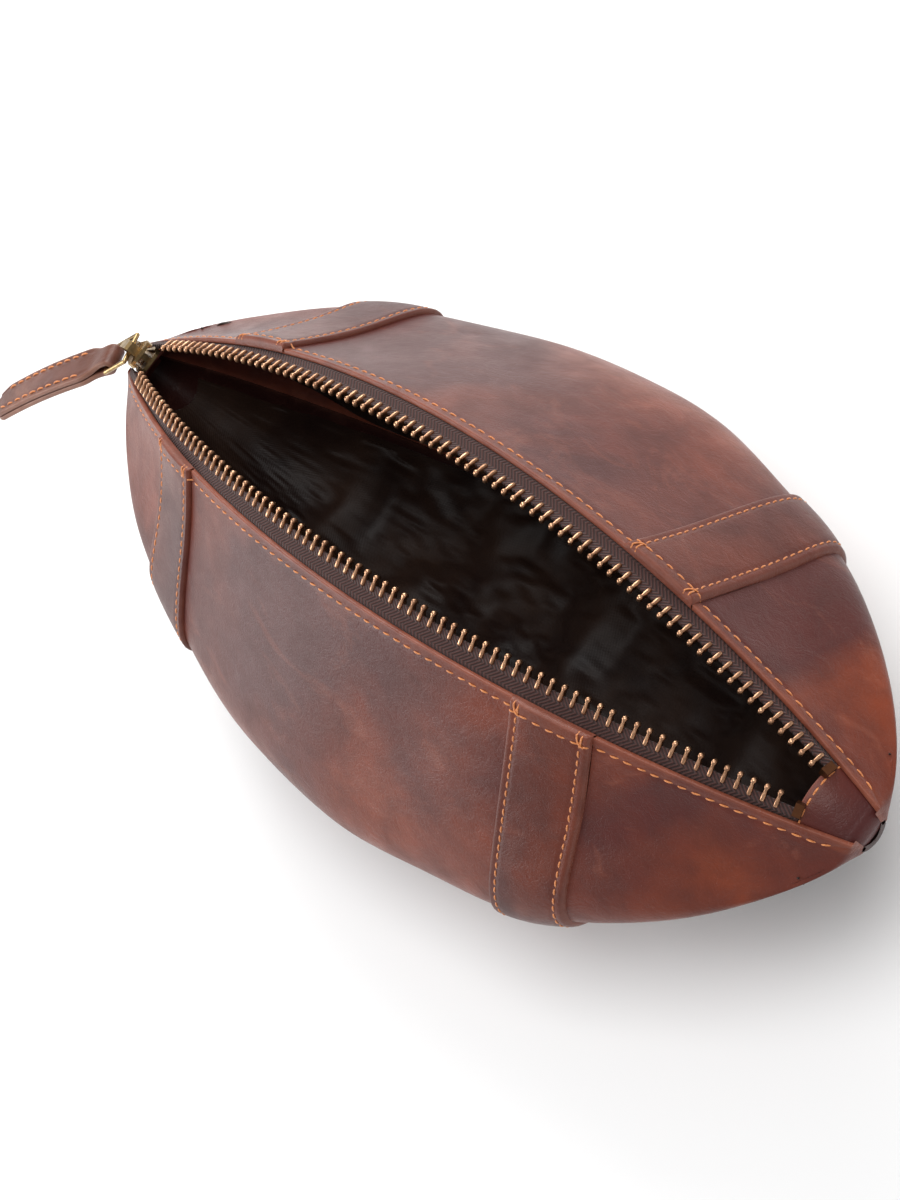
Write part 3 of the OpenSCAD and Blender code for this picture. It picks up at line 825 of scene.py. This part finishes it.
def tape_strip(half):
    side = SIDES[half]
    rows, uv = [], []
    for x in TAPE_STATIONS:
        line = tape_line(x)
        direction = np.gradient(line[:, 1:], axis=0)
        direction /= np.linalg.norm(direction, axis=1)[:, None]
        normal = np.stack([np.zeros(len(line)), -direction[:, 1], direction[:, 0]], 1) * TAPE_THICK / 2
        loop = np.concatenate([line + normal, (line - normal)[::-1]])
        loop[:, 1] *= side
        rows.append(loop)
        along = np.concatenate([[0], np.cumsum(np.linalg.norm(np.diff(line, axis=0), axis=1))])
        uv.append(np.stack([np.full(2 * len(line), x), np.concatenate([along, along[::-1]])], 1))
    vertices, faces = loft(rows)
    obj = new_object(f"{half}_zip_tape_cloth", vertices, faces, MATERIALS["zip_tape"], np.concatenate(uv))
    finish_piece(obj, half, "zip_tape", f"{half}_zip_tape")


# ---- zip teeth
ZIP_HALF = (ZIP_END - ZIP_START) / 2
ZIP_MIDDLE = (ZIP_END + ZIP_START) / 2
CHAIN_RADIUS = (ZIP_HALF ** 2 + CHAIN_RISE ** 2) / (2 * CHAIN_RISE)
CHAIN_CENTRE_Z = TIP_HEIGHT + CHAIN_END_RISE + CHAIN_RISE - CHAIN_RADIUS
PITCH_ANGLE = TOOTH_PITCH / CHAIN_RADIUS
TEETH_COUNT = int((2 * math.asin(ZIP_HALF / CHAIN_RADIUS) - PITCH_ANGLE) / PITCH_ANGLE)


def turn_x(points, angle):
    c, s = math.cos(angle), math.sin(angle)
    y, z = points[:, 1] * c - points[:, 2] * s, points[:, 1] * s + points[:, 2] * c
    return np.stack([points[:, 0], y, z], 1)


def turn_y(points, angle):
    c, s = math.cos(angle), math.sin(angle)
    x, z = points[:, 0] * c + points[:, 2] * s, -points[:, 0] * s + points[:, 2] * c
    return np.stack([x, points[:, 1], z], 1)


def on_chain(points, angle):
    """Points from a tooth's own frame to the open back half of the chain."""
    p = turn_y(points + np.array([0, 0, CHAIN_RADIUS]), angle)
    p = p + np.array([ZIP_MIDDLE, 0, CHAIN_CENTRE_Z - TIP_HEIGHT])
    return turn_x(p, -OPEN_ANGLE) + np.array([0, CHAIN_HALF_GAP, TIP_HEIGHT])


# Along a tooth from its legs on the tape to its head: place, half width, half height
TOOTH_PROFILE = np.array([
    [2.3, 0.38, 0.70], [2.2, 0.52, 1.0], [1.9, 0.6, 1.2], [0.9, 0.62, 1.2], [0.1, 0.56, 1.1],
    [-0.45, 0.46, 0.92], [-0.9, 0.46, 0.9], [-1.25, 0.66, 1.02], [-1.6, 0.74, 1.05],
    [-1.95, 0.66, 0.92], [-2.2, 0.42, 0.62], [-2.3, 0.15, 0.25]])


def tooth():
    angles = np.arange(14) * 2 * math.pi / 14
    c, s = np.cos(angles), np.sin(angles)
    square = 0.62
    rx, rz = np.sign(c) * np.abs(c) ** square, np.sign(s) * np.abs(s) ** square
    rows = [np.stack([w * rx, np.full(14, y), h * rz], 1) for y, w, h in TOOTH_PROFILE]
    return loft(rows)


def teeth_row(half):
    side = SIDES[half]
    rng = np.random.default_rng(5 + side)
    shape, shape_faces = tooth()
    parts = []
    for i in range(TEETH_COUNT):
        angle = (i + 0.5 - TEETH_COUNT / 2 + 0.25 * side) * PITCH_ANGLE
        p = turn_y(shape, rng.normal(0, 0.02))
        p = p @ Matrix.Rotation(rng.normal(0, 0.015), 3, "Z")
        p = on_chain(np.array(p), angle)
        p[:, 1] *= side
        parts.append((p, shape_faces))
    vertices, faces = join_parts(parts)
    obj = new_object(f"{half}_zip_teeth_metal", vertices, faces, MATERIALS["zip_metal"], smooth_angle=70)
    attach(obj, f"{half}_mouth")
    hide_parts(f"{half}_zip_teeth")


# ---- lining
LINING_DEPTH = LEATHER + TAPE_THICK + 2 * LAYER_GAP + 0.15
LINING_THICK, LINING_SLACK, LINING_MOST = 0.5, 0.035, 9.0
LINING_STATIONS = np.linspace(-HALF_LENGTH + 9, HALF_LENGTH - 9, 55)
LINING_COLUMNS, LINING_FINER, FOLD_ROOM = 32, 3, 22.0
LINING_START, LINING_TRIM, LINING_SHORT = 1.0, 2.5, 14.0
CLOTH_SCALE, CLOTH_FRAMES, CLOTH_LIFT, CLOTH_RUFFLE = 0.01, 40, 2.0, 0.8


def cloth_object(name, points, faces):
    mesh = bpy.data.meshes.new(name)
    mesh.from_pydata((np.asarray(points) * CLOTH_SCALE).tolist(), [], faces)
    obj = bpy.data.objects.new(name, mesh)
    bpy.context.scene.collection.objects.link(obj)
    return obj


def cloth_floor(low, high):
    """A plane that the cloth can't sink through."""
    corners = [(low[0], low[1], 0), (high[0], low[1], 0), (high[0], high[1], 0), (low[0], high[1], 0)]
    under = cloth_object("under_cloth", corners, [(0, 1, 2, 3)])
    under.modifiers.new("floor", "COLLISION")
    under.collision.thickness_outer = 0.012
    under.collision.cloth_friction = 4
    return under


def set_cloth(cloth):
    """A thin smooth lining cloth that is a little too large for its place."""
    cloth.settings.quality = 6
    cloth.settings.mass = 0.25
    cloth.settings.tension_stiffness = 25
    cloth.settings.compression_stiffness = 25
    cloth.settings.shear_stiffness = 12
    cloth.settings.bending_stiffness = 10
    cloth.settings.air_damping = 2
    cloth.settings.shrink_min = -LINING_SLACK
    cloth.settings.vertex_group_mass = "sewn"
    cloth.collision_settings.distance_min = 0.008
    cloth.collision_settings.use_self_collision = False
    cloth.point_cache.frame_end = CLOTH_FRAMES


def cloth_folds(flat, pinned, seed):
    """Folds of a sheet cut a little too large, sewn along its pinned edges and lying on a floor.

    flat holds (along, down) places in millimetres, and the result adds the height over the floor.
    """
    rng = np.random.default_rng(seed)
    count, width = flat.shape[:2]
    start = np.concatenate([flat, np.zeros((count, width, 1))], 2).reshape(-1, 3)
    start[:, 2] = CLOTH_LIFT + rng.random(len(start)) * CLOTH_RUFFLE
    sheet = cloth_object("cloth", start, loft(np.zeros((count, width, 3)), closed=False)[1])
    sheet.vertex_groups.new(name="sewn").add(np.flatnonzero(pinned.ravel()).tolist(), 1.0, "REPLACE")
    under = cloth_floor(start[:, :2].min(0) - 40, start[:, :2].max(0) + 40)
    set_cloth(sheet.modifiers.new("cloth", "CLOTH"))
    scene = bpy.context.scene
    for step in range(1, CLOTH_FRAMES + 1):
        scene.frame_set(step)
    done = sheet.evaluated_get(bpy.context.evaluated_depsgraph_get())
    places = np.empty(len(start) * 3)
    done.data.vertices.foreach_get("co", places)
    scene.frame_set(1)
    bpy.data.objects.remove(sheet)
    bpy.data.objects.remove(under)
    places = places.reshape(count, width, 3) / CLOTH_SCALE
    places[:, :, 2] = LINING_MOST * np.tanh(np.maximum(0, places[:, :, 2] - CLOTH_LIFT) / LINING_MOST)
    return places


def fold_room(x):
    """Share of its full height that a fold can have, which gets small where the bag narrows."""
    return np.clip((seam_y(x) - 5) / FOLD_ROOM, 0.02, 1)


def finer(grid):
    """The same sheet with smooth curves drawn between the simulated points, both ways."""
    for axis in (0, 1):
        g = np.moveaxis(grid, axis, 0)
        before = np.concatenate([2 * g[:1] - g[1:2], g[:-2]])
        after = np.concatenate([g[2:], 2 * g[-1:] - g[-2:-1]])
        here, there = g[:-1], g[1:]
        rows = []
        for t in np.arange(LINING_FINER) / LINING_FINER:
            bend = (2 * before - 5 * here + 4 * there - after) * t * t
            bend = bend + (3 * here - before - 3 * there + after) * t ** 3
            rows.append(here + 0.5 * ((there - before) * t + bend))
        mixed = np.stack(rows, 1).reshape(-1, *g.shape[1:])
        grid = np.moveaxis(np.concatenate([mixed, g[-1:]]), 0, axis)
    return grid


def lining_piece(name, body, grid, flat, inward, node):
    """Closed thin sheet from its grid of points, with its flat cut as its UV."""
    normal = np.cross(np.gradient(grid, axis=0), np.gradient(grid, axis=1))
    normal /= np.maximum(np.linalg.norm(normal, axis=2), 1e-9)[:, :, None]
    if (normal * inward).sum() < 0:
        normal = -normal
    loops = np.concatenate([grid, (grid + normal * LINING_THICK)[:, ::-1]], 1)
    vertices, faces = loft(loops)
    uv = np.concatenate([flat, flat[:, ::-1]], 1).reshape(-1, 2)
    obj = new_object(name, vertices, faces, MATERIALS["lining"], uv, smooth_angle=80)
    finish_piece(obj, body, "lining", node)


def side_lining(half):
    side = SIDES[half]
    sections = [Section(x) for x in LINING_STATIONS]
    fractions = np.linspace(0, 1, LINING_COLUMNS)
    lengths = [c.length - LINING_TRIM - LINING_SHORT * (1 - fold_room(c.x)) for c in sections]
    flat = np.array([[(c.x, LINING_START + f * length) for f in fractions]
                     for c, length in zip(sections, lengths)])
    pinned = np.zeros(flat.shape[:2], bool)
    pinned[:, [0, 1, -1]] = True
    pinned[[0, -1]] = True
    folds = cloth_folds(flat, pinned, 21 + side)
    grid = np.empty(folds.shape)
    for row, moved, section in zip(grid, folds, sections):
        room = fold_room(section.x)
        row[:] = section.point(moved[:, 1], -(LINING_DEPTH + moved[:, 2] * room), side)
        row[:, 0] = section.x + (moved[:, 0] - section.x) * room
    lining_piece(f"{half}_lining_cloth", half, finer(grid), finer(flat), np.array([0, -side, 0.2]),
                 f"{half}_lining")


def base_lining():
    across = np.linspace(1, -1, LINING_COLUMNS)
    flat = np.array([[(x, u * (seam_y(x) - 3.2)) for u in across] for x in LINING_STATIONS])
    pinned = np.zeros(flat.shape[:2], bool)
    pinned[:, [0, 1, -2, -1]] = True
    pinned[[0, -1]] = True
    folds = cloth_folds(flat, pinned, 33)
    v = folds[:, :, 1] / seam_y(LINING_STATIONS)[:, None]
    grid = folds.copy()
    here, room = LINING_STATIONS[:, None], fold_room(LINING_STATIONS)[:, None]
    grid[:, :, 0] = here + (grid[:, :, 0] - here) * room
    grid[:, :, 2] *= room
    grid[:, :, 2] += base_height(here, np.clip(v, -1, 1)) + LEATHER + 0.45
    lining_piece("base_lining_cloth", "bag", finer(grid), finer(flat), np.array([0, 0, 1]),
                 "base_lining")


# ---- slider and puller
SLIDER_X = -139.5
SLIDER_ANGLE = math.asin((SLIDER_X - ZIP_MIDDLE) / CHAIN_RADIUS)
LINK_HEIGHT, LINK_LENGTH, LINK_WIRE = 3.9, 10.0, 1.4
PULLER_YAW, PULLER_DROOP = math.radians(33), math.radians(-5)
PULLER_LENGTH, PULLER_WIDTH, PULLER_LAYER = 54.5, 13.0, 1.7
PULLER_BOW, PULLER_BOW_TURN, PULLER_JOIN, PULLER_NECK = 1.6, math.pi * 0.9, 7.5, 4.1
PULLER_STITCH_INSET = 2.0


def slider_place(points):
    """From the slider's own frame to the row frame."""
    p = turn_y(points + np.array([0, 0, CHAIN_RADIUS]), SLIDER_ANGLE)
    return p + np.array([ZIP_MIDDLE, 0, CHAIN_CENTRE_Z])


def link_place(points):
    c, s = math.cos(PULLER_YAW), math.sin(PULLER_YAW)
    x, y = points[:, 0] * c - points[:, 1] * s, points[:, 0] * s + points[:, 1] * c
    return slider_place(np.stack([x, y, points[:, 2] + LINK_HEIGHT], 1))


def polish_cad_node(node, slot, width, material=None):
    """A CAD metal part keeps its shape and gets rounded edges and its material."""
    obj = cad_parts[node]
    obj.data.materials.clear()
    obj.data.materials.append(MATERIALS[material or slot])
    rest = obj.data.attributes.new("rest_place", "FLOAT_VECTOR", "POINT")
    places = np.array([v.co for v in obj.data.vertices], np.float32)
    rest.data.foreach_set("vector", places.ravel())
    if width:
        bevel = obj.modifiers.new("edges", "BEVEL")
        bevel.width, bevel.segments, bevel.limit_method = width * MM, 2, "ANGLE"
        bevel.angle_limit = math.radians(35)


def puller():
    """A leather strip folded round the link and sewn to itself."""
    bend = LINK_WIRE / 2 + 0.3 + PULLER_LAYER / 2
    flat = np.linspace(PULLER_LENGTH, PULLER_JOIN, 40)
    opening = np.linspace(PULLER_JOIN, 0.6, 10)
    k = (PULLER_JOIN - opening) / (PULLER_JOIN - 0.6)
    angles = np.linspace(math.pi / 2, -math.pi / 2, 13)
    closed_gap = PULLER_LAYER / 2 + 0.08
    apart = closed_gap + (bend - closed_gap) * smooth_step(k)
    top = np.stack([-np.concatenate([flat, opening]),
                    np.concatenate([np.full(flat.shape, closed_gap), apart])], 1)
    loop = np.stack([bend * np.cos(angles), bend * np.sin(angles)], 1)
    line = np.concatenate([top, loop, top[::-1] * np.array([1, -1])])
    line[:, 1] += PULLER_BOW * np.sin(np.clip(-line[:, 0], 0, None) / PULLER_LENGTH * PULLER_BOW_TURN)
    direction = np.gradient(line, axis=0)
    direction /= np.linalg.norm(direction, axis=1)[:, None]
    normal = np.stack([-direction[:, 1], direction[:, 0]], 1)
    rows, worn, uv = [], [], []
    across = np.concatenate([[-1, -0.985, -0.95, -0.9], np.linspace(-0.82, 0.82, 17),
                             [0.9, 0.95, 0.985, 1]])
    along = np.concatenate([[0], np.cumsum(np.linalg.norm(np.diff(line, axis=0), axis=1))])
    for p, n, a in zip(line, normal, along):
        out = max(0.0, -p[0])
        half = PULLER_NECK + (PULLER_WIDTH / 2 - PULLER_NECK) * smooth_step((out - 2.0) / 9)
        half -= 2.6 * smooth_step((out - (PULLER_LENGTH - 3.5)) / 4.5)
        round_off = np.sqrt(np.clip(1 - (np.clip(np.abs(across) - 0.9, 0, 0.1) / 0.1) ** 2, 0, 1))
        thick = PULLER_LAYER / 2 * (0.35 + 0.65 * round_off)
        from_stitches = np.abs(across) * half - (half - PULLER_STITCH_INSET)
        groove = 0.22 * np.exp(-(from_stitches / 0.55) ** 2) * (out > 8)
        upper = np.stack([p[0] + n[0] * (thick - groove), across * half, p[1] + n[1] * (thick - groove)], 1)
        lower = np.stack([p[0] - n[0] * thick, across * half, p[1] - n[1] * thick], 1)
        rows.append(np.concatenate([upper, lower[::-1]]))
        w = worn_edge((1 - np.abs(across)) * half, 1.2) * 0.8
        worn.append(np.concatenate([w, w[::-1]]))
        uv.append(np.stack([np.full(2 * len(across), a), np.concatenate([across, across[::-1]]) * half], 1))
    vertices, faces = loft(rows)
    vertices = hang(vertices)
    obj = new_object("puller_leather", vertices, faces, MATERIALS["puller_leather"], np.concatenate(uv),
                     attributes={"worn": np.concatenate(worn)})
    finish_piece(obj, "puller", "puller_leather", "puller_strap")
    puller_stitches()


def hang(points):
    """From the puller's frame, with the far bar at its origin, to the row frame."""
    turned = turn_y(np.asarray(points, float), -PULLER_DROOP)
    return link_place(turned - np.array([LINK_LENGTH, 0, 0]))


def puller_stitches():
    out = np.linspace(9.5, PULLER_LENGTH - 2.6, 90)
    rise = PULLER_BOW * np.sin(out / PULLER_LENGTH * PULLER_BOW_TURN)
    half = PULLER_WIDTH / 2 - PULLER_STITCH_INSET - 2.2 * smooth_step((out - (PULLER_LENGTH - 6)) / 5)
    made = []
    for face in (1, -1):
        for edge in (1, -1):
            z = rise + face * (PULLER_LAYER + 0.02)
            path = hang(np.stack([-out, edge * half, z], 1))
            above = hang(np.stack([-out, edge * half, z + face], 1))
            made += stitch_row(path, above - path, 4.0, 2.8, radius=0.3, seed=31 + edge)
    vertices, faces = join_parts(made)
    obj = new_object("puller_stitching", vertices, faces, MATERIALS["thread"])
    finish_piece(obj, "puller", "thread")


# ---- room
FLOOR_REACH, WORLD_STRENGTH = 3000.0, 0.45


def plain(name, colour, roughness):
    sh = Shader(name)
    sh.set(color=colour, roughness=roughness, specular=0.2)
    return sh.material


def add_floor():
    reach = FLOOR_REACH
    corners = [(-reach, -reach, 0), (reach, -reach, 0), (reach, reach, 0), (-reach, reach, 0)]
    floor = new_object("floor", corners, [(0, 1, 2, 3)], plain("floor", (0.9, 0.9, 0.9, 1), 0.9))


def add_light(name, place, target, size, power, colour=(1, 1, 1)):
    data = bpy.data.lights.new(name, "AREA")
    data.size, data.energy, data.color = size, power, colour
    light = bpy.data.objects.new(name, data)
    light.location = place
    light.rotation_euler = (Vector(target) - Vector(place)).to_track_quat("-Z", "Y").to_euler()
    bpy.context.scene.collection.objects.link(light)


def add_room():
    add_floor()
    world = bpy.data.worlds.new("studio")
    world.use_nodes = True
    background = world.node_tree.nodes["Background"]
    background.inputs["Color"].default_value = (1, 1, 1, 1)
    background.inputs["Strength"].default_value = WORLD_STRENGTH
    bpy.context.scene.world = world
    add_light("key", (-0.75, 0.85, 0.75), (0, 0, 0.06), 0.8, 14, (1, 0.985, 0.97))
    add_light("top", (0.35, 0.1, 1.5), (0, 0, 0.05), 0.9, 12)
    add_light("fill", (-0.9, -0.9, 0.55), (0, 0, 0.05), 0.8, 12, (0.98, 0.99, 1))


bpy.context.scene.view_settings.view_transform = "Standard"
add_camera()
for half_name in SIDES:
    leather_panel(half_name)
    for end_name in BAND_MIDDLES:
        band(half_name, end_name)
    leather_stitches(half_name)
    tape_strip(half_name)
    teeth_row(half_name)
    side_lining(half_name)
    polish_cad_node(f"{half_name}_top_stop", "zip_metal", 0.3, "stop_metal")
base_panel()
base_lining()
for end_name in ("left", "right"):
    end_tab(end_name)
polish_cad_node("bottom_stop", "zip_metal", 0.3)
polish_cad_node("slider_body", "slider_metal", 0.22)
polish_cad_node("slider_bridge", "slider_metal", 0.25)
polish_cad_node("pull_link", "slider_metal", 0)
puller()
add_room()
